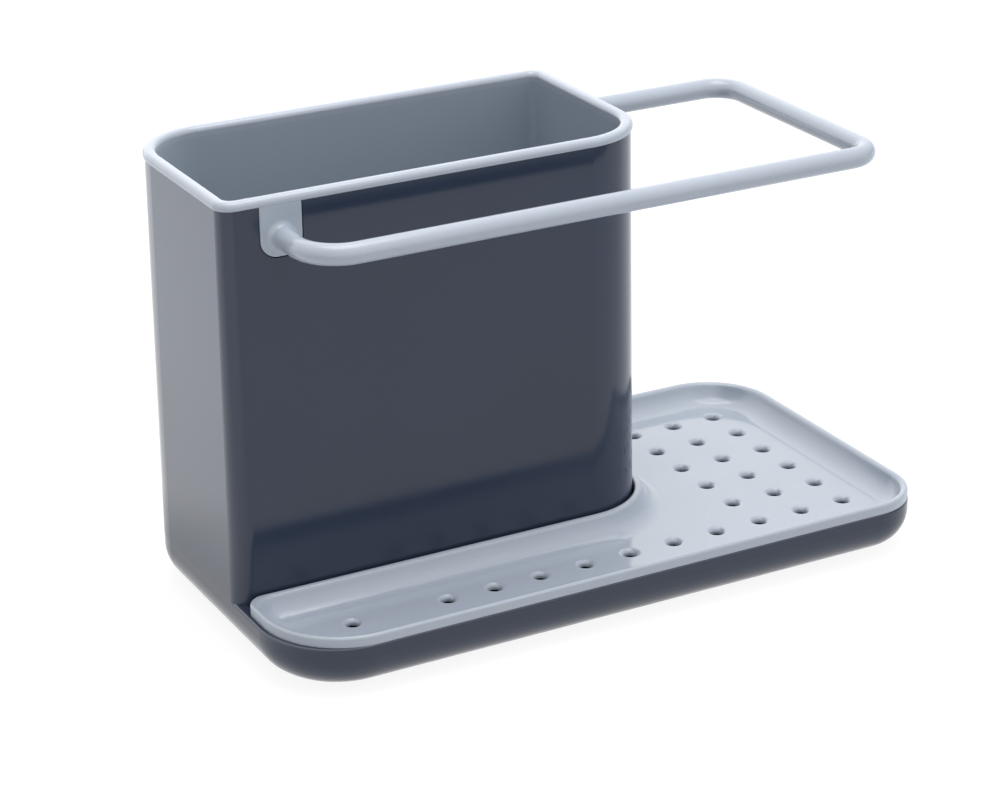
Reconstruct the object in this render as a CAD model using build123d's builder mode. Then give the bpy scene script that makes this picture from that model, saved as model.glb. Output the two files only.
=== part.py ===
from build123d import *
import math
import os

os.makedirs("parts", exist_ok=True)

# Sizes are in millimetres, with +Z up. The origin is on the surface that the caddy stands on, under the
# middle of its base. +X runs along the length towards the wide end of the drain tray, +Y to the back.

# Base of the casing
caddy_length = 205.4
caddy_depth = 109
base_height = 14
base_bottom_radius = 10.5
base_ledge_radius = 0.9
base_ledge_steps = 3
base_edge_break = 0.35
front_left_radius = 24
front_right_radius = 17
back_right_radius = 22
back_left_radius = 22
casing_wall = 1.6
casing_floor = 2.4

# Non-slip pads under the base
pad_stand_out = 0.9
pad_recess = 0.9
pad_radius = 6
pad_play = 0.15
pad_edge_radius = 0.4
pad_inset_x = 27
pad_inset_y = 25

# Tower of the casing, flush with the left and back of the base
tower_length = 135
tower_front_gap = 37.7
tower_top = 128.6
tower_taper_angle = 0.5
tower_sharp_radius = 5.5
tower_wide_radius = 22
casing_cavity_radius = 8

# Liner that lifts out of the tower
liner_play = 0.3
liner_wall = 1.4
liner_floor = 1.6
liner_sump = 9
liner_draft_angle = 0.5
liner_foot_radius = 3
liner_corner_radius = 3.4
rim_overhang = 0.5
rim_height = 2.4
rim_radius = 1.5
rim_lower_radius = 0.5
liner_drain_radius = 2.5
liner_drain_pitch = 16
liner_drain_columns = 6
liner_drain_rows = 3

# Cloth rail and the two tabs that carry it, moulded in one with the liner
rail_radius = 3
rail_drop = 9.1
rail_front_gap = 20.2
rail_back_inset = 12.6
rail_right_inset = 12.2
rail_root_bend = 12
rail_front_bend = 8
rail_back_bend = 9
rail_root_fillet = 1.8
front_tab_place = 18
tab_half_width = 6.1
tab_drop = 5.4
tab_corner_radius = 5
tab_stand_out = 0.2
tab_edge_radius = 0.35
notch_play = 0.3

# Drain tray over the reservoir
tray_lip_height = 3
tray_lip_width = 1.9
tray_edge_inset = 0.2
tray_left_inset = 1.3
tray_seat = 1.6
tray_play = 0.3
tray_depth = 6.2
tray_floor = 1.8
tray_cove_radius = 6.5
tray_foot_radius = 4
tray_tip_radius = 5.5
tray_tower_gap = 0.6
tray_lip_radius = 0.8
tray_edge_radius = 1.4
tray_slope = 2.4
drain_radius = 1.8
drain_edge_radius = 1.5
drain_first_x = 17.5
drain_first_y = 20.4
drain_pitch_x = 14.7
drain_pitch_y = 14.4
drain_end_gap = 15

cut_overrun = 1

# Levels above the surface
base_bottom = pad_stand_out
base_top = base_bottom + base_height
floor_top = base_bottom + casing_floor
rim_top = tower_top + rim_height
rail_height = tower_top - rail_drop
liner_bottom = floor_top + liner_sump
lip_top = base_top + tray_lip_height
tray_floor_top = lip_top - tray_depth
tray_bottom = tray_floor_top - tray_floor

# Sides of the footprint, and the tower's walls at its foot
left = -caddy_length / 2
right = caddy_length / 2
front = -caddy_depth / 2
back = caddy_depth / 2
tower_right = left + tower_length
tower_front = front + tower_front_gap

# Widths that follow from the walls
liner_inset = casing_wall + liner_play
rim_inset = liner_inset + liner_wall
dish_inset = tray_seat + tray_play


def taper_at(height):
    """How far the tower's faces have leaned in at a height above its foot."""
    return (height - base_top) * math.tan(math.radians(tower_taper_angle))


top_taper = taper_at(tower_top)


def draft_at(height):
    """How far the liner's walls have drawn in at a height below the tower's top."""
    return (tower_top - height) * math.tan(math.radians(liner_draft_angle))


def tower_outline(inset, least_radius=casing_wall):
    """Closed outline of the tower, drawn in by an inset all round."""
    sharp = max(tower_sharp_radius - inset, least_radius)
    wide = tower_wide_radius - inset
    corners = [
        (left + inset, tower_front + inset),
        (tower_right - inset, tower_front + inset),
        (tower_right - inset, back - inset),
        (left + inset, back - inset),
    ]
    return FilletPolyline(*corners, radius=[sharp, wide, sharp, wide], close=True)


def tray_outline(inset, least_radius=0.0):
    """Closed outline of the L-shaped tray, drawn in by an inset all round."""
    tray_left = left + tray_left_inset + inset
    tray_right = right - tray_edge_inset - inset
    tray_front = front + tray_edge_inset + inset
    tray_back = back - tray_edge_inset - inset
    step_x = tower_right + tray_tower_gap + inset
    step_y = tower_front - tray_tower_gap - inset
    tip = max(tray_tip_radius - inset, least_radius)
    corners = [
        (tray_left, tray_front),
        (tray_right, tray_front),
        (tray_right, tray_back),
        (step_x, tray_back),
        (step_x, step_y),
        (tray_left, step_y),
    ]
    radii = [
        front_left_radius - tray_edge_inset - inset,
        front_right_radius - tray_edge_inset - inset,
        back_right_radius - tray_edge_inset - inset,
        tip,
        tower_wide_radius + tray_tower_gap + inset,
        tip,
    ]
    return FilletPolyline(*corners, radius=radii, close=True)


def base_outline(inset, left_inset):
    """Closed outline of the base, drawn in by one inset on three sides and by another at the left."""
    corners = [
        (left + left_inset, front + inset),
        (right - inset, front + inset),
        (right - inset, back - inset),
        (left + left_inset, back - inset),
    ]
    radii = [
        front_left_radius - inset,
        front_right_radius - inset,
        back_right_radius - inset,
        back_left_radius - inset,
    ]
    return FilletPolyline(*corners, radius=radii, close=True)


# The base block: the outside of the reservoir, with a soft lower edge. Its upper edge is rounded over at the
# left, where it stands clear of the tray, and hardly at all where the tray's lip comes out flush with it.
ledge_foot = base_top - base_ledge_radius
with BuildPart() as base_block:
    with BuildSketch(Plane.XY.offset(base_bottom)):
        with BuildLine():
            base_outline(0, 0)
        make_face()
    extrude(amount=ledge_foot - base_bottom)
    fillet(base_block.faces().sort_by(Axis.Z)[0].edges(), radius=base_bottom_radius)
    for step in range(base_ledge_steps + 1):
        turn = math.pi / 2 * step / base_ledge_steps
        drawn_in = 1 - math.cos(turn)
        with BuildSketch(Plane.XY.offset(ledge_foot + base_ledge_radius * math.sin(turn))):
            with BuildLine():
                base_outline(base_edge_break * drawn_in, base_ledge_radius * drawn_in)
            make_face()
    loft(ruled=True)

# The room inside the base block's own floor and rounded walls, before the tower divides it
with BuildPart() as base_room:
    with BuildSketch(Plane.XY.offset(floor_top)):
        with BuildLine():
            base_outline(casing_wall, casing_wall)
        make_face()
    extrude(amount=base_top - floor_top + cut_overrun)
    fillet(base_room.faces().sort_by(Axis.Z)[0].edges(), radius=casing_cavity_radius)

# The reservoir under the tray, round the foot of the tower. The wall left round it is the seat of the tray's lip.
with BuildPart() as reservoir_room:
    with BuildSketch(Plane.XY.offset(floor_top)):
        with BuildLine():
            base_outline(tray_edge_inset + tray_seat, tray_left_inset + tray_seat)
        make_face()
        with BuildLine():
            tower_outline(0)
        make_face(mode=Mode.SUBTRACT)
    extrude(amount=base_top - floor_top + cut_overrun)
    add(base_room.part, mode=Mode.INTERSECT)

# The well inside the tower, where the liner hangs
with BuildPart() as well_room:
    with BuildSketch(Plane.XY.offset(floor_top)):
        with BuildLine():
            tower_outline(casing_wall)
        make_face()
    extrude(amount=base_top - floor_top)
    add(base_room.part, mode=Mode.INTERSECT)
    with BuildSketch(Plane.XY.offset(base_top)):
        with BuildLine():
            tower_outline(casing_wall)
        make_face()
    with BuildSketch(Plane.XY.offset(tower_top)):
        with BuildLine():
            tower_outline(casing_wall + top_taper)
        make_face()
    loft()

# Where the tabs stand: at the height of the rail the tower's faces have leaned in by this much
rail_taper = taper_at(rail_height)
tab_front_y = tower_front + rail_taper - tab_stand_out
tab_right_x = tower_right - rail_taper + tab_stand_out
tab_front_x = left + front_tab_place
tab_right_y = back - rail_back_inset
tab_reach = tab_stand_out + liner_inset + liner_wall / 2
front_tab_plane = Plane(origin=(tab_front_x, tab_front_y, rail_height), x_dir=(1, 0, 0), z_dir=(0, -1, 0))
right_tab_plane = Plane(origin=(tab_right_x, tab_right_y, rail_height), x_dir=(0, 1, 0), z_dir=(1, 0, 0))


def tab_outline(margin, top):
    """Closed outline of a tab, round at its lower corners, on a plane centred on the rail's axis."""
    half = tab_half_width + margin
    low = -tab_drop - margin
    high = top - rail_height
    corner = tab_corner_radius + margin
    corners = [(-half, low), (half, low), (half, high), (-half, high)]
    return FilletPolyline(*corners, radius=[corner, corner, 0, 0], close=True)


# The casing: base and tower in one moulding, notched for the tabs and recessed for the pads
pad_places = [
    (side_x * (caddy_length / 2 - pad_inset_x), side_y * (caddy_depth / 2 - pad_inset_y))
    for side_x in (-1, 1)
    for side_y in (-1, 1)
]
with BuildPart() as casing:
    add(base_block.part)
    with BuildSketch(Plane.XY.offset(ledge_foot)):
        with BuildLine():
            tower_outline(0)
        make_face()
    extrude(amount=base_ledge_radius)
    with BuildSketch(Plane.XY.offset(base_top)):
        with BuildLine():
            tower_outline(0)
        make_face()
    with BuildSketch(Plane.XY.offset(tower_top)):
        with BuildLine():
            tower_outline(top_taper)
        make_face()
    loft()
    add(reservoir_room.part, mode=Mode.SUBTRACT)
    add(well_room.part, mode=Mode.SUBTRACT)
    for tab_plane in (front_tab_plane, right_tab_plane):
        with BuildSketch(tab_plane.offset(cut_overrun)):
            with BuildLine():
                tab_outline(notch_play, tower_top + cut_overrun)
            make_face()
        extrude(amount=-(cut_overrun + tab_stand_out + casing_wall + liner_play), mode=Mode.SUBTRACT)
    with BuildSketch(Plane.XY.offset(base_bottom)):
        with Locations(*pad_places):
            Circle(pad_radius + pad_play)
    extrude(amount=pad_recess, mode=Mode.SUBTRACT)

casing.part.label = "casing"
export_step(casing.part, "parts/casing.step")

# Four non-slip pads, let into the underside of the base
pad_names = ["pad_front_left", "pad_back_left", "pad_front_right", "pad_back_right"]
for pad_name, pad_place in zip(pad_names, pad_places):
    with BuildPart() as pad:
        with BuildSketch():
            with Locations(pad_place):
                Circle(pad_radius)
        extrude(amount=pad_stand_out + pad_recess)
        fillet(pad.faces().sort_by(Axis.Z)[0].edges(), radius=pad_edge_radius)
    pad.part.label = pad_name
    export_step(pad.part, f"parts/{pad_name}.step")


def liner_outline(inset, height):
    """Closed outline of the liner at a height, measured in from the casing's outside at its top."""
    return tower_outline(top_taper + inset + draft_at(height), liner_corner_radius + liner_inset - inset)


# The inside of the liner, open at the top
with BuildPart() as liner_room:
    for height in (liner_bottom + liner_floor, rim_top):
        with BuildSketch(Plane.XY.offset(height)):
            with BuildLine():
                liner_outline(rim_inset, height)
            make_face()
    loft()
    fillet(liner_room.faces().sort_by(Axis.Z)[0].edges(), radius=liner_foot_radius - liner_wall)

# The tabs, let into the notches. Each one's outer face is softened at the edges.
tabs = []
for tab_plane in (front_tab_plane, right_tab_plane):
    with BuildPart() as tab:
        with BuildSketch(tab_plane):
            with BuildLine():
                tab_outline(0, tower_top + rim_height / 2)
            make_face()
        extrude(amount=-tab_reach)
        fillet(tab.faces().sort_by(Axis(tab_plane.origin, tab_plane.z_dir))[-1].edges(), radius=tab_edge_radius)
    tabs.append(tab.part)

# The rod of the cloth rail: out of the front tab, round over the tray and back into the right tab
rail_front_y = tower_front - rail_front_gap
rail_right_x = right - rail_right_inset
with BuildPart() as rail_rod:
    with BuildLine() as rail_path:
        FilletPolyline(
            (tab_front_x, tab_front_y + tab_stand_out, rail_height),
            (tab_front_x, rail_front_y, rail_height),
            (rail_right_x, rail_front_y, rail_height),
            (rail_right_x, tab_right_y, rail_height),
            (tab_right_x - tab_stand_out, tab_right_y, rail_height),
            radius=[rail_root_bend, rail_front_bend, rail_back_bend],
        )
    with BuildSketch(front_tab_plane.offset(-tab_stand_out)):
        Circle(rail_radius)
    sweep(path=rail_path.line)

# The insert: liner, rim, tabs and rail in one moulding. Its rim rests on the casing's top edge.
with BuildPart() as insert:
    with BuildSketch(Plane.XY.offset(tower_top)):
        with BuildLine():
            tower_outline(top_taper - rim_overhang)
        make_face()
    extrude(amount=rim_height)
    fillet(insert.faces().sort_by(Axis.Z)[0].edges(), radius=rim_lower_radius)
    fillet(insert.faces().sort_by(Axis.Z)[-1].edges(), radius=rim_radius)
    for height in (liner_bottom, tower_top):
        with BuildSketch(Plane.XY.offset(height)):
            with BuildLine():
                liner_outline(liner_inset, height)
            make_face()
    loft()
    fillet(insert.faces().sort_by(Axis.Z)[0].edges(), radius=liner_foot_radius)
    add(tabs)
    add(liner_room.part, mode=Mode.SUBTRACT)
    fillet(insert.faces().sort_by(Axis.Z)[-1].inner_wires().edges(), radius=rim_radius)
    add(rail_rod.part)
    for tab_plane in (front_tab_plane, right_tab_plane):
        rail_root = insert.edges().filter_by(GeomType.CIRCLE).sort_by_distance(tab_plane.origin)[0]
        fillet(rail_root, radius=rail_root_fillet)
    with BuildSketch(Plane.XY.offset(liner_bottom)):
        with Locations(((left + tower_right) / 2, (tower_front + back) / 2)):
            with GridLocations(liner_drain_pitch, liner_drain_pitch, liner_drain_columns, liner_drain_rows):
                Circle(liner_drain_radius)
    extrude(amount=liner_floor, mode=Mode.SUBTRACT)

insert.part.label = "insert"
export_step(insert.part, "parts/insert.step")

# The inside of the drain tray, its sides sloped and coved so that water runs down to the holes
with BuildPart() as tray_room:
    for height, drawn_in in ((tray_floor_top, tray_slope), (lip_top, 0)):
        with BuildSketch(Plane.XY.offset(height)):
            with BuildLine():
                tray_outline(tray_lip_width + drawn_in, least_radius=tray_tip_radius)
            make_face()
    loft()
    fillet(tray_room.faces().sort_by(Axis.Z)[0].edges(), radius=tray_cove_radius)


def drains_along(run, pitch):
    """How many drain holes fit in a run that ends at the tray's edge, with the first one at its start."""
    return 1 + math.floor((run - drain_end_gap) / pitch)


# Where the drain holes go: as many as fit, in one row along the front and in more rows behind its right-hand
# end. The last place but one in the front row has no hole.
drain_x = right - drain_first_x
drain_y = front + drain_first_y
front_row_drains = drains_along(drain_x - left - tray_left_inset, drain_pitch_x)
wide_columns = drains_along(drain_x - tower_right - tray_tower_gap, drain_pitch_x)
wide_rows = drains_along(back - tray_edge_inset - drain_y, drain_pitch_y)
drain_places = []
for column in range(front_row_drains):
    if column != front_row_drains - 2:
        for row in range(wide_rows if column < wide_columns else 1):
            drain_places.append((drain_x - column * drain_pitch_x, drain_y + row * drain_pitch_y))

# The drain tray: a dish with a lip that rests on the base's top edge, and round holes through its floor
with BuildPart() as drain_tray:
    with BuildSketch(Plane.XY.offset(tray_bottom)):
        with BuildLine():
            tray_outline(dish_inset, least_radius=tray_foot_radius + tray_play)
        make_face()
    extrude(amount=base_top - tray_bottom)
    fillet(drain_tray.faces().sort_by(Axis.Z)[0].edges(), radius=tray_foot_radius)
    with BuildSketch(Plane.XY.offset(base_top)):
        with BuildLine():
            tray_outline(0)
        make_face()
    extrude(amount=tray_lip_height)
    fillet(drain_tray.faces().sort_by(Axis.Z)[-1].edges(), radius=tray_lip_radius)
    add(tray_room.part, mode=Mode.SUBTRACT)
    fillet(drain_tray.faces().sort_by(Axis.Z)[-1].inner_wires().edges(), radius=tray_edge_radius)
    with BuildSketch(Plane.XY.offset(tray_bottom)):
        with Locations(*drain_places):
            Circle(drain_radius)
    extrude(amount=tray_floor, mode=Mode.SUBTRACT)
    drain_mouths = drain_tray.edges().filter_by(lambda edge: edge.is_closed).group_by(Axis.Z)[-1]
    fillet(drain_mouths, radius=drain_edge_radius)

drain_tray.part.label = "drain_tray"
export_step(drain_tray.part, "parts/drain_tray.step")
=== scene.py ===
# %% [markdown]
# # A kitchen sink caddy
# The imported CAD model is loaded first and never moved. It fixes where everything is, in metres: the
# caddy stands on z = 0, its length runs along X, and its tall tower is at the left and the back.
# Everything after this cell only dresses that frame: finishes, light and a camera. The real caddy is three
# plain mouldings and four pads, and the CAD model holds each of them with its fillets, so no new mesh is
# needed. What is missing is how the plastic takes the light.

# %% Load the frame
import math

import bpy
import numpy as np
from mathutils import Euler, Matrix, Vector


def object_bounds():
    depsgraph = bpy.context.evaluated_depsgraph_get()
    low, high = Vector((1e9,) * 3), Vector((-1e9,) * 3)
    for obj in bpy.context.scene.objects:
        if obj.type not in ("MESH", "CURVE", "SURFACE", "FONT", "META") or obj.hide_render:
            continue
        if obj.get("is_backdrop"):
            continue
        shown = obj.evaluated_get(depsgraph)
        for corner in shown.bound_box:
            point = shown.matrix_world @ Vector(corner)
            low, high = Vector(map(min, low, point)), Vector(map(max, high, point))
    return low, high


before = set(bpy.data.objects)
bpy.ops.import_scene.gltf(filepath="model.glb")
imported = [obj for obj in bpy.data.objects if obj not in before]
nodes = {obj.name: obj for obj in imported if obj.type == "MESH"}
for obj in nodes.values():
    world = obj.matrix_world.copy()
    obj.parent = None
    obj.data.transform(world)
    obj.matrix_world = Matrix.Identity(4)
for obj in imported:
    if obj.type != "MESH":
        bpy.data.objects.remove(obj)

cad_low, cad_high = (np.array(corner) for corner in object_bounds())
print("CAD box in mm:", np.round(1000 * cad_low, 1), np.round(1000 * cad_high, 1))
for node in sorted(nodes):
    print(node, "has", len(nodes[node].data.polygons), "triangles")

# %% [markdown]
# ## Heights to hang the finishes on
# Water, wear and dirt sit at certain heights: round the foot, along the tray, just under the rim. Such a
# height could be typed in as a number, but then it would be wrong as soon as the CAD model changed. So the
# few places that the finishes start from are measured on the meshes of the CAD model. A hair's breadth
# keeps the points that lie exactly on an edge out of the count.

# %% Measure the tray, the rim and the rail
def points_of(name):
    """All points of a CAD node's mesh in metres, one row for each."""
    mesh = nodes[name].data
    numbers = np.empty(3 * len(mesh.vertices), dtype=np.float32)
    mesh.vertices.foreach_get("co", numbers)
    return numbers.reshape(-1, 3).astype(float)


hairs_breadth = 0.0001
tower_top = points_of("casing")[:, 2].max()
lip_top = float(points_of("drain_tray")[:, 2].max())
liner_points = points_of("insert")
rim_points = liner_points[liner_points[:, 2] > tower_top + hairs_breadth]
rim_right = float(rim_points[:, 0].max())
rim_front = float(rim_points[:, 1].min())
rim_top = float(rim_points[:, 2].max())
rail_heights = liner_points[liner_points[:, 0] > rim_right + hairs_breadth, 2]
rail_middle = float(rail_heights.min() + rail_heights.max()) / 2
for what, height in (("lip", lip_top), ("rim", rim_top), ("rail", rail_middle)):
    print(what, "at", round(1000 * height, 1), "mm")

# %% [markdown]
# ## Writing shaders as sums
# A procedural finish is a graph of small nodes. It could be drawn by hand in Blender's shader editor, or
# written out node by node, but both are long and hard to read. So the class below wraps one output socket
# and lets Python's operators add the Math nodes: `1 - wear * 0.5` is then two nodes and one line. The
# reflected forms, such as `__rsub__`, are for sums that start with a plain number.

# %% A socket that does sums
class Signal:
    """One output socket of a node. Sums on it add Math nodes, and every result is a Signal too."""

    def __init__(self, shading, socket):
        self.shading = shading
        self.socket = socket

    def other_output(self, name):
        """Another output of the same node."""
        return Signal(self.shading, self.socket.node.outputs[name])

    def __add__(self, other):
        return self.shading.maths("ADD", self, other)

    def __sub__(self, other):
        return self.shading.maths("SUBTRACT", self, other)

    def __mul__(self, other):
        return self.shading.maths("MULTIPLY", self, other)

    def __rsub__(self, other):
        return self.shading.maths("SUBTRACT", other, self)

    __radd__ = __add__
    __rmul__ = __mul__

    def larger(self, other):
        """The larger of two values."""
        return self.shading.maths("MAXIMUM", self, other)

    def step(self, low, high):
        """0 below the low value and 1 above the high one, with a soft step between them."""
        settings = {"interpolation_type": "SMOOTHSTEP"}
        return self.shading.node("ShaderNodeMapRange", settings, self, low, high, 0.0, 1.0)


# %% [markdown]
# Every other kind of node comes from one method, `node`: its settings are put in first, then its inputs,
# which are numbers or Signals. The rest of the class is short words for the few things that this scene
# asks for again and again. All patterns start from Object coordinates. Each object sits at the origin of
# the frame, unturned and unscaled, so these are plain metres, and a mask can be written as a place: the
# lowest few millimetres are `1 - z.step(0.002, 0.008)`. An unwrapped and painted texture would do the same
# with more work, and would have to be done again whenever the CAD model changes.

# %% A node tree written in short calls
class Shading:
    """The node tree of a material or of the world, with short ways to add nodes to it."""

    def __init__(self, owner):
        owner.use_nodes = True
        self.owner = owner
        self.tree = owner.node_tree

    def put(self, socket, value):
        """Links a Signal to an input socket, or sets the socket to a plain value."""
        if isinstance(value, Signal):
            self.tree.links.new(value.socket, socket)
        else:
            socket.default_value = value

    def node(self, kind, settings, *inputs, output=0, **named):
        """Adds a node, sets it up, fills its inputs in order or by name, and gives one of its outputs."""
        node = self.tree.nodes.new(kind)
        for setting, value in settings.items():
            setattr(node, setting, value)
        for index, value in enumerate(inputs):
            self.put(node.inputs[index], value)
        for name, value in named.items():
            self.put(node.inputs[name.replace("_", " ")], value)
        return Signal(self, node.outputs[output])

    def maths(self, operation, *values):
        """One Math node."""
        return self.node("ShaderNodeMath", {"operation": operation}, *values)

    def place(self):
        """Object coordinates in metres."""
        return self.node("ShaderNodeTexCoord", {}, output="Object")

    def parts(self, vector):
        """The X, Y and Z of a vector."""
        along = self.node("ShaderNodeSeparateXYZ", {}, vector)
        return along, along.other_output("Y"), along.other_output("Z")

    def noise(self, size, squeeze=(1.0, 1.0, 1.0), detail=2.0):
        """Smooth noise from about 0 to 1 with blotches about `size` metres across.

        A squeeze of less than 1 on an axis makes them longer along it.
        """
        place = self.filter_colour(self.place(), squeeze)
        return self.node("ShaderNodeTexNoise", {}, Vector=place, Scale=1 / size, Detail=detail)

    def blend(self, amount, first, second):
        """A colour between two colours."""
        mix = self.node("ShaderNodeMix", {"data_type": "RGBA"}, amount, output=2)
        # A Mix node has an A and a B for numbers, for vectors and for colours. The colours' are 6 and 7.
        self.put(mix.socket.node.inputs[6], first)
        self.put(mix.socket.node.inputs[7], second)
        return mix

    def scale_colour(self, colour, amount):
        """A colour times an amount."""
        return self.node("ShaderNodeVectorMath", {"operation": "SCALE"}, colour, Scale=amount)

    def filter_colour(self, colour, other):
        """One colour or vector times another, part by part."""
        return self.node("ShaderNodeVectorMath", {"operation": "MULTIPLY"}, colour, other)

    def relief(self, height):
        """A normal bent by a height in metres."""
        return self.node("ShaderNodeBump", {}, Strength=1.0, Distance=1.0, Height=height)

    def seen_directly_or_in_gloss(self):
        """1 for rays from the camera, and 1 for reflected or refracted rays, as two Signals."""
        rays = self.node("ShaderNodeLightPath", {}, output="Is Camera Ray")
        return rays, rays.other_output("Is Glossy Ray").larger(rays.other_output("Is Transmission Ray"))


# %% [markdown]
# A finish is one material with one Principled shader, and three short functions are enough to use it: one
# makes it, one sets its sockets, and one puts it on pieces of the caddy in place of the plain material
# that they were packed with. Materials could also be picked by hand in Blender, but then nobody could read
# later which piece has which.

# %% Finishes and the pieces that wear them
def finish(name, **values):
    """A material of one Principled shader with these values or Signals on its own sockets."""
    shading = Shading(bpy.data.materials.new(name))
    shading.surface = shading.tree.nodes["Principled BSDF"]
    set_on(shading, **values)
    return shading


def set_on(shading, **values):
    """Puts values or Signals on the Principled shader's sockets."""
    for socket, value in values.items():
        shading.put(shading.surface.inputs[socket.replace("_", " ")], value)


def dress(shading, *names):
    """Gives CAD nodes this finish in place of the one they were packed with."""
    for name in names:
        data = nodes[name].data
        data.materials.clear()
        data.materials.append(shading.owner)
    print(shading.owner.name, "on", *names)


# %% [markdown]
# ## The casing: dark, polished, moulded plastic
# The real casing is injection moulded in a polished steel mould, in slate blue plastic. The colour goes all
# the way through, so wear shows as haze and as fine, slightly paler scratches, and no other colour comes
# through. Four things make it more than one flat colour:
#
# * the pigment isn't perfectly stirred, so the blue drifts a little over some centimetres;
# * wiping leaves a faint haze, drawn out along the way the cloth goes, which is up and down on a wall;
# * the base slides on the worktop and gets knocked, so its lowest millimetres are scuffed;
# * water splashes off the tray and dries on the foot of the tower, which blurs what it mirrors there: the
#   photo's tower mirrors the tray, but not the drain holes close to it.
#
# Each of the four is a mask from 0 to 1. The haze, the scuffs and the splashes are what such an object
# has. The photo hardly shows them, so they stay faint.

# %% Slate plastic: pigment, haze, scuffs and splashes
casing_finish = finish("casing_polished_slate", IOR=1.5)
_, _, z = casing_finish.parts(casing_finish.place())
drift_size, haze_size, scratch_size = 0.045, 0.012, 0.0011
long_upwards = (1.0, 1.0, 0.12)
long_sideways = (0.08, 0.08, 1.0)
pigment = casing_finish.noise(drift_size, detail=3.0)
wiped = casing_finish.noise(haze_size, squeeze=long_upwards, detail=4.0).step(0.45, 0.75)
scratched = casing_finish.noise(scratch_size, squeeze=long_sideways, detail=3.0).step(0.52, 0.66)

all_scuffed_below, few_scuffs_above = 0.003, 0.009
scuffs_at_foot, scuffs_everywhere = 0.8, 0.05
foot = 1 - z.step(all_scuffed_below, few_scuffs_above)
scuffed = scratched * (foot * scuffs_at_foot + scuffs_everywhere)

splash_starts, splash_full = lip_top - 0.0034, lip_top - 0.0024
splash_fades, splash_ends = lip_top + 0.0061, lip_top + 0.0161
splashed = z.step(splash_starts, splash_full) * (1 - z.step(splash_fades, splash_ends))
print("splashes reach", round(1000 * (splash_ends - lip_top), 1), "mm above the tray")

# %% [markdown]
# Such a plastic could be made of a base shader and a separate clear coat. There is no lacquer on the real
# one, so a single Principled shader with the refractive index of the plastic is both simpler and right.
# Its base colour was fitted to the photo together with the light. The masks then make it paler or duller:
# a roughness of 0.11 is a polished mould, and each kind of wear adds its own.

# %% Slate plastic: colour and gloss
slate_dark = (0.0205, 0.0308, 0.0570, 1)
slate_light = (0.0245, 0.0368, 0.0680, 1)
slate_scuffed = (0.060, 0.072, 0.100, 1)
scuff_colour_share = 0.3
slate = casing_finish.blend(pigment, slate_dark, slate_light)
slate = casing_finish.blend(scuffed * scuff_colour_share, slate, slate_scuffed)

polished, haze_adds, scuffs_add, splashes_add = 0.11, 0.03, 0.22, 0.11
set_on(
    casing_finish,
    Base_Color=slate,
    Roughness=wiped * haze_adds + scuffed * scuffs_add + splashed * splashes_add + polished,
)

# %% [markdown]
# A large moulded wall is never quite flat: it sinks a little as it cools. That can't be seen in the wall
# itself, only in what it mirrors, and in the photo the front wall mirrors the tray a little higher than a
# flat wall would. The bow could be cut into the mesh, but it is under a millimetre and the mesh belongs to
# the CAD model, so it goes into the shader, as a height of `-slope * d * d / (2 * reach)` where `d` is the
# distance below the level at which the bow starts. Its slope is then `slope * d / reach`. Very low waves
# and the scratches are added to the same height.

# %% Slate plastic: the bow of the walls
bow_slope = math.radians(1.5)
bow_start = 0.085
bow_reach = 0.070
below = (bow_start - z).larger(0.0)
bow = below * below * (-bow_slope / (2 * bow_reach))
wave_size, wave_height = 0.030, 0.00001
groove_depth = 0.000012
waves = casing_finish.noise(wave_size, detail=1.0) * wave_height
grooves = scuffed * -groove_depth
set_on(casing_finish, Normal=casing_finish.relief(bow + waves + grooves))
dress(casing_finish, "casing")
print("bow of the walls:", round(1000 * bow_slope * bow_reach / 2, 2), "mm")

# %% [markdown]
# ## The drain tray and the liner: pale plastic
# Both are moulded in the same pale grey blue. The tray lies flat under a bright room, and the darker left
# part and the lighter right part that the photo shows on its floor are gloss: one mirrors the dark tower
# and the other the bright room, with a clean border between the two. That needs a low roughness. Water
# dries on both pieces and leaves faint blotches that are rougher than the plastic, most of them low down.
# Two materials could be written out in full. The helper makes what the two have in common instead, and
# keeps the colour and the water marks, so that each piece can go on from there.

# %% Pale plastic: pigment and water marks
def pale_plastic(name, mark_level):
    """The pale plastic, with nearly all of its water marks below one height."""
    shading = finish(name, IOR=1.5)
    _, _, z = shading.parts(shading.place())
    drift_size, mark_size = 0.035, 0.0045
    pigment = shading.noise(drift_size, detail=3.0)
    blotches = shading.noise(mark_size, detail=3.0).step(0.55, 0.70)
    mark_fade, marks_above = 0.004, 0.06
    low_down = 1 - z.step(mark_level - mark_fade, mark_level)
    shading.marks = blotches * (low_down * (1 - marks_above) + marks_above)

    pale_dark = (0.388, 0.436, 0.508, 1)
    pale_light = (0.404, 0.450, 0.522, 1)
    dried_water = (0.440, 0.480, 0.540, 1)
    mark_colour_share = 0.25
    colour = shading.blend(pigment, pale_dark, pale_light)
    shading.colour = shading.blend(shading.marks * mark_colour_share, colour, dried_water)

    peel_size, peel_height = 0.0016, 0.0000012
    wave_size, wave_height = 0.020, 0.000012
    peel = shading.noise(peel_size, detail=2.0) * peel_height
    waves = shading.noise(wave_size, detail=1.0) * wave_height
    set_on(shading, Normal=shading.relief(peel + waves))
    return shading


# %% [markdown]
# The tray's floor is the polished face of the mould. The slopes round it are drawn out of the mould along
# their length and are knocked by whatever is put down on the tray, so they are satin: in the photo they
# shade off softly and mirror hardly anything. Along the top of the lip, hands and cloths polish the plastic
# again. One roughness for the whole tray would show either a dull floor or a rail mirrored in its slopes,
# so the roughness follows the height.

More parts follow.
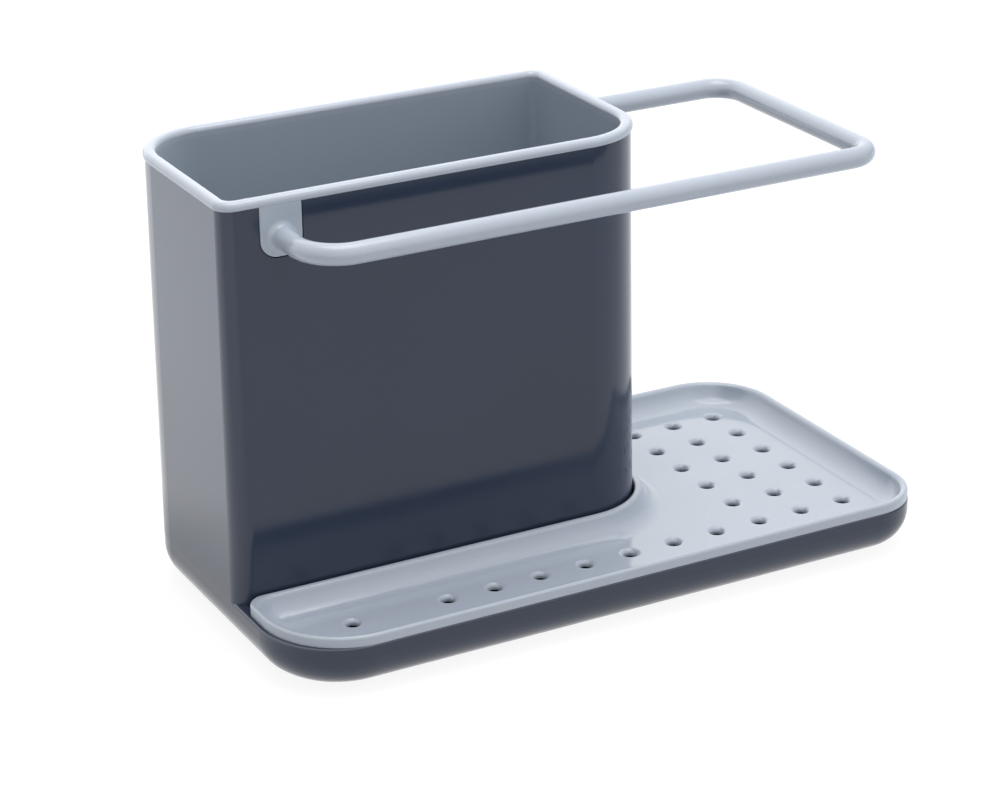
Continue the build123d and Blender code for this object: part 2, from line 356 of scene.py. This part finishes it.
# %% Drain tray
splashes_reach = lip_top - 0.0019
tray_finish = pale_plastic("tray_glossy_pale", mark_level=splashes_reach)
_, _, z = tray_finish.parts(tray_finish.place())
slope_starts, slope_satin = lip_top - 0.0057, lip_top - 0.0034
hands_start, hands_polish = lip_top - 0.0011, lip_top - 0.0001
satin_slope = z.step(slope_starts, slope_satin) * (1 - z.step(hands_start, hands_polish))
polished, marks_add, satin_adds = 0.11, 0.06, 0.13
set_on(
    tray_finish,
    Base_Color=tray_finish.colour,
    Roughness=tray_finish.marks * marks_add + satin_slope * satin_adds + polished,
)
dress(tray_finish, "drain_tray")

# %% [markdown]
# The inside of the liner, its well, is formed by the core of the mould, which is seldom polished as well as
# the outside, so the well gets a softer gloss. Its colour is also made slightly darker and cooler, up to
# just
# under the rim: this is painted shade, for the light that reaches less far down into the well. The rim and
# the rail are what hands touch: they stay pale, and the rim and the upper half of the rail are a little
# glossier. The liner is one moulding and one mesh, so the well can't have a material of its own. Its mask
# is a box, written as steps on Z, X and Y.

# %% Liner and rail
water_stands = 0.060
insert_finish = pale_plastic("insert_satin_pale", mark_level=water_stands)
x, y, z = insert_finish.parts(insert_finish.place())
well_fades, well_ends = rim_top - 0.0035, rim_top - 0.0020
right_wall_inside, right_wall_outside = rim_right - 0.0018, rim_right - 0.0003
front_wall_outside, front_wall_inside = rim_front - 0.0002, rim_front + 0.0008
below_rim = 1 - z.step(well_fades, well_ends)
left_of_wall = 1 - x.step(right_wall_inside, right_wall_outside)
behind_wall = y.step(front_wall_outside, front_wall_inside)
well = below_rim * left_of_wall * behind_wall
# Painted shade: this tint darkens and cools the colour inside the well, where less light reaches.
well_shade_tint = (0.87, 0.90, 0.91)
painted_well_shade = insert_finish.filter_colour(insert_finish.colour, well_shade_tint)
handled_depth = 0.002
handled = z.step(rail_middle, rail_middle + handled_depth) * (1 - well)
satin, marks_add, well_roughness_adds, hands_take = 0.17, 0.06, 0.06, 0.03
set_on(
    insert_finish,
    Base_Color=insert_finish.blend(well, insert_finish.colour, painted_well_shade),
    Roughness=insert_finish.marks * marks_add + well * well_roughness_adds - handled * hands_take + satin,
)
dress(insert_finish, "insert")

# %% [markdown]
# ## The pads: rubber
# Four small rubber pads carry the base. Rubber has hardly any gloss and a fine grain from its mould, and
# its lower face picks up pale dust where it rubs on the worktop. The photo doesn't show them, so the
# finish is that of common black rubber feet: a grain as noise of about half a millimetre, used for the
# roughness, for the relief and to break up the dust.

# %% Pad rubber
pad_finish = finish("pad_matte_rubber", IOR=1.45)
_, _, z = pad_finish.parts(pad_finish.place())
rubber_black = (0.018, 0.020, 0.023, 1)
worktop_dust = (0.085, 0.085, 0.080, 1)
grain_size, grain_height, dust_share = 0.0006, 0.00002, 0.5
dust_fades, dust_ends = 0.0001, 0.0005
grain = pad_finish.noise(grain_size, detail=2.0)
dusty = (1 - z.step(dust_fades, dust_ends)) * grain.step(0.35, 0.65)
matte, grain_adds = 0.65, 0.15
set_on(
    pad_finish,
    Base_Color=pad_finish.blend(dusty * dust_share, rubber_black, worktop_dust),
    Roughness=grain * grain_adds + matte,
    Normal=pad_finish.relief(grain * grain_height),
)
dress(pad_finish, "pad_front_left", "pad_back_left", "pad_front_right", "pad_back_right")

# %% [markdown]
# ## The room light
# A glossy object shows its room, so the room matters as much as the plastic. It could be set by eye with a
# few lamps, but here it was worked out in reverse. The caddy was rendered under one light at a time, and
# the strengths were chosen at which their sum comes closest to the photo, then rounded and adjusted. What
# came out is simple: a soft ceiling light, a brighter side at the right, and a little from everywhere else.
# The sky is written as lobes, the squares of the parts of the direction. Over all six directions they add
# up to 1, so a sky with the same strength on all of them is even. Rays that left a glossy surface see a
# brighter room, as in a white studio, with a dark side at the right, and rays from the camera see plain
# white.

# %% World
studio = Shading(bpy.data.worlds.new("studio"))
bpy.context.scene.world = studio.owner
camera_ray, gloss_ray = studio.seen_directly_or_in_gloss()
right_part, _, up_part = studio.parts(studio.node("ShaderNodeTexCoord", {}, output="Generated"))
to_right = right_part.larger(0.0)
to_top = up_part.larger(0.0)
right_lobe = to_right * to_right
top_lobe = to_top * to_top
soft_right, soft_top, soft_everywhere = 1.65, 0.9, 0.25
gloss_walls, gloss_top = 2.3, 0.7
soft_light = right_lobe * soft_right + top_lobe * soft_top + soft_everywhere
gloss_light = (1 - right_lobe) * gloss_walls + top_lobe * gloss_top
room = soft_light * (1 - gloss_ray) + gloss_light * gloss_ray
background = studio.tree.nodes["Background"]
studio.put(background.inputs["Color"], room * (1 - camera_ray) + camera_ray)
print("soft light from the right:", soft_right + soft_everywhere)
print("soft light from above:", soft_top + soft_everywhere)

# %% [markdown]
# The floor is a plain white surface that keeps a trace of the caddy's shadow. It could be lit until it is
# as white as the photo's background, but that would burn out the pale plastic. So the camera sees it mixed
# with a glow that lifts it to white.

# %% Floor
floor_side = 8.0
bpy.ops.mesh.primitive_plane_add(size=floor_side)
floor = bpy.context.object
floor.name = "floor"
floor_paint = (0.8, 0.8, 0.8, 1)
floor_finish = finish("floor_white", Base_Color=floor_paint, Roughness=1.0)
floor.data.materials.append(floor_finish.owner)
floor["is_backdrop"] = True
print("the floor is", floor_side, "m wide")

# %% [markdown]
# The dark walls mirror the floor, and an even floor would make them flatter than the photo's. So in a gloss
# it is seen as the photo's walls show it: brightest at the back left, dimmest in front and round the
# caddy's foot, except at the right end, and with cooler daylight at both ends. A photograph of a studio
# could be wrapped round the scene for this. A few soft steps on X, on Y and on the distance from the base
# do it too, and each can be changed by itself.

# %% The floor as a gloss sees it
x, y, _ = floor_finish.parts(floor_finish.place())
foot_width = 0.05
beside = (floor_finish.maths("ABSOLUTE", x) - float(cad_high[0])).larger(0.0)
before = (floor_finish.maths("ABSOLUTE", y) - float(cad_high[1])).larger(0.0)
distance = floor_finish.maths("SQRT", beside * beside + before * before)
far = distance.step(0.0, foot_width)
at_back = y.step(-0.10, 0.06)
at_left = (0 - x).step(0.05, 0.20)
at_right = x.step(0.10, 0.20)
front_level, front_left_more = 0.91, 0.35
back_level, back_left_more = 1.15, 0.57
foot_level, foot_right_more = 0.955, 0.40
front_glow = at_left * front_left_more + front_level
back_glow = at_left * back_left_more + back_level
foot_glow = at_right * foot_right_more + foot_level
far_glow = at_back * (back_glow - front_glow) + front_glow
gloss_glow = far * (far_glow - foot_glow) + foot_glow
print("glow of the floor in a gloss, back left:", round(back_level + back_left_more, 2))

# %% [markdown]
# What a ray meets now depends on the kind of ray. Light that only falls on the floor meets the white paint
# and bounces back to the caddy, a gloss meets the glow alone, and the camera meets four parts of glow and
# one part of paint, which is what keeps the shadow. A Light Path node tells the rays apart, and a Mix
# Shader does the sharing.

# %% Paint and glow
camera_ray, gloss_ray = floor_finish.seen_directly_or_in_gloss()
neutral = (1, 1, 1, 1)
cool_daylight = (0.965, 1, 1.065, 1)
lifted_white = (1.12, 1.12, 1.12, 1)
glow_share_seen = 0.8
daylight = floor_finish.blend(at_left.larger(at_right), neutral, cool_daylight)
seen_in_gloss = floor_finish.scale_colour(daylight, gloss_glow)
glow_colour = floor_finish.blend(camera_ray, seen_in_gloss, lifted_white)
glow = floor_finish.node("ShaderNodeEmission", {}, glow_colour)
mix = floor_finish.node("ShaderNodeMixShader", {}, camera_ray * glow_share_seen + gloss_ray)
floor_finish.tree.links.new(floor_finish.surface.outputs[0], mix.socket.node.inputs[1])
floor_finish.tree.links.new(glow.socket, mix.socket.node.inputs[2])
floor_finish.tree.links.new(mix.socket, floor_finish.tree.nodes["Material Output"].inputs["Surface"])
print("the camera sees", glow_share_seen, "of the glow")

# %% [markdown]
# The one lamp is a wide softbox overhead. It lights the tray, the rim and the rail from straight above, as
# the photo's pale upper faces and shaded walls ask. A smaller, stronger lamp was tried, and it drew bright
# lines along the tray's slopes that the photo doesn't have. At half a metre wide it also throws no hard
# shadow of the rail on the tray. A lamp's power is given in watts, and for a flat lamp it is pi times the
# area times how bright the lamp itself looks.

# %% Ceiling lamp
lamp_centre = Vector((0.0, 0.0, 0.8))
lamp_target = Vector((0.0, 0.01, 0.05))
lamp_side = 0.5
lamp_brightness = 3.6
lamp = bpy.data.lights.new("ceiling_softbox", "AREA")
lamp.shape = "SQUARE"
lamp.size = lamp_side
lamp.energy = math.pi * lamp_side * lamp_side * lamp_brightness
lamp_object = bpy.data.objects.new("ceiling_softbox", lamp)
bpy.context.scene.collection.objects.link(lamp_object)
lamp_object.location = lamp_centre
lamp_object.rotation_euler = (lamp_target - lamp_centre).to_track_quat("-Z", "Y").to_euler()
lamp_object.visible_camera = False
print("the ceiling lamp gives", round(lamp.energy, 2), "W")

# %% [markdown]
# ## The camera
# A camera could be placed by eye. This one was found from the photo: the corners of the rim, the rail, the
# tray and the drain holes were matched to the model's own corners until they lay within about one to one
# and a half pixels of each other. The picture is 1000 pixels wide, so a focal length of 2885 pixels is 2885
# times 36 / 1000 millimetres on a 36 millimetre sensor. That is a long lens, and it gives the calm
# perspective of a product photo.

# %% Camera
picture_width = 1000
focal_length = 2885.1
sensor_width = 36
camera_place = (-0.37205, -0.67511, 0.37341)
camera_turns = (67.2784, 0.6848, -28.3805)
camera_data = bpy.data.cameras.new("camera")
camera = bpy.data.objects.new("camera", camera_data)
bpy.context.scene.collection.objects.link(camera)
bpy.context.scene.camera = camera
camera_data.sensor_fit = "HORIZONTAL"
camera_data.sensor_width = sensor_width
camera_data.lens = focal_length * sensor_width / picture_width
camera.location = camera_place
camera.rotation_euler = Euler([math.radians(turn) for turn in camera_turns])
print("camera is", round(camera.location.length, 3), "m from the middle of the base")

# %% [markdown]
# ## The view
# The Standard view shows the colours as they were worked out, where a filmic look would grey them.

bpy.context.scene.view_settings.view_transform = "Standard"
